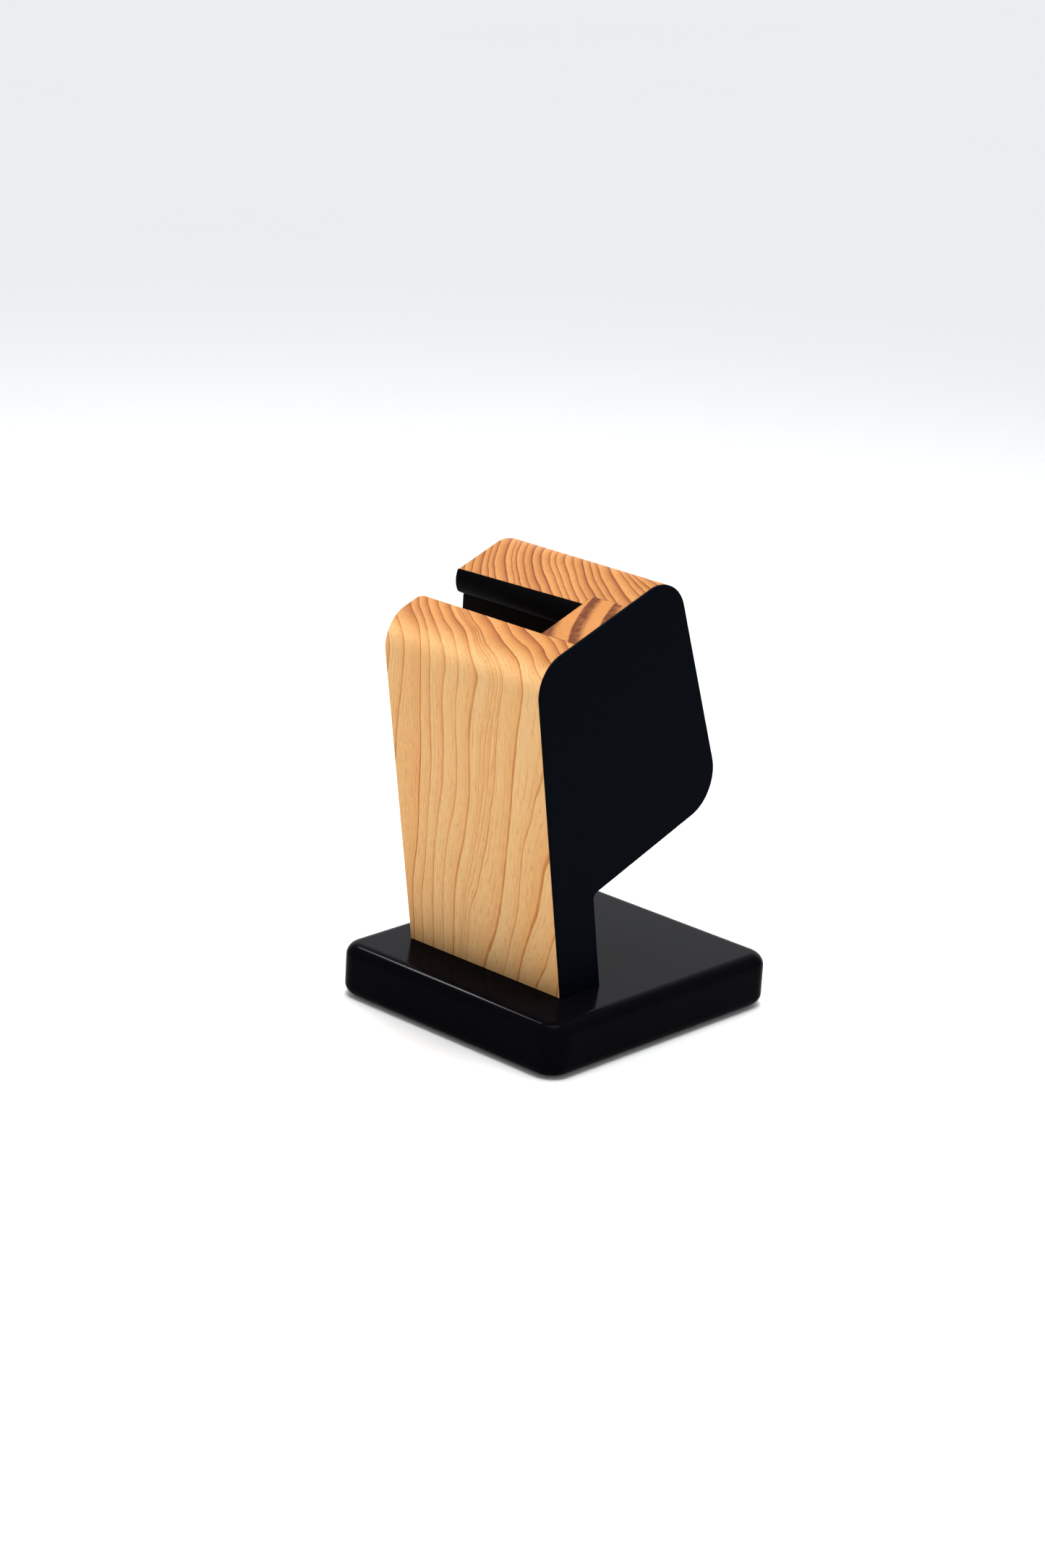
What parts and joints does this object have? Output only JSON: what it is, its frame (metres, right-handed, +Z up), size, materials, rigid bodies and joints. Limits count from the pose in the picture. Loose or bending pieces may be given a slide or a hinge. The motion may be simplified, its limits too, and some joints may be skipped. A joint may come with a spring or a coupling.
{
  "type": "phone stand",
  "caption": "Wooden desk stand: a forward-leaning board on a rounded lacquered base carries a tilted head block, with a slot between them that is open at the top and one end.",
  "frame": {"origin": "on the surface the stand rests on, under the middle of the base", "axes": "+Z up, -Y the front board's show face, +Y the side the slanted support face looks to, +X the side with the black laminate, -X the slot's open end"},
  "size_m": [0.1, 0.108, 0.1518],
  "materials": {
    "cypress_wood": "satin oiled, fine growth rings",
    "cypress_bridge_wood": "satin oiled, broad dark growth rings",
    "black_lacquered_wood": "high gloss black lacquer",
    "black_laminate": "satin black",
    "black_lip": "satin black lacquer",
    "black_lining": "matte black sheet",
    "beech_dowel": "plain",
    "zinc_steel": "zinc plated",
    "grey_rubber": "matte"
  },
  "bodies": {
    "root": {"base_plate": "black_lacquered_wood", "front_board": "cypress_wood", "head_block": "cypress_wood", "bridge_block": "cypress_bridge_wood", "side_panel": "black_laminate", "slot_lip": "black_lip", "slot_lining": "black_lining", "head_dowel_left": "beech_dowel", "head_dowel_right": "beech_dowel", "bridge_dowel_lower": "beech_dowel", "bridge_dowel_upper": "beech_dowel", "base_screw_left": "zinc_steel", "base_screw_right": "zinc_steel", "foot_front_left": "grey_rubber", "foot_front_right": "grey_rubber", "foot_back_left": "grey_rubber", "foot_back_right": "grey_rubber"}
  },
  "joints": []
}
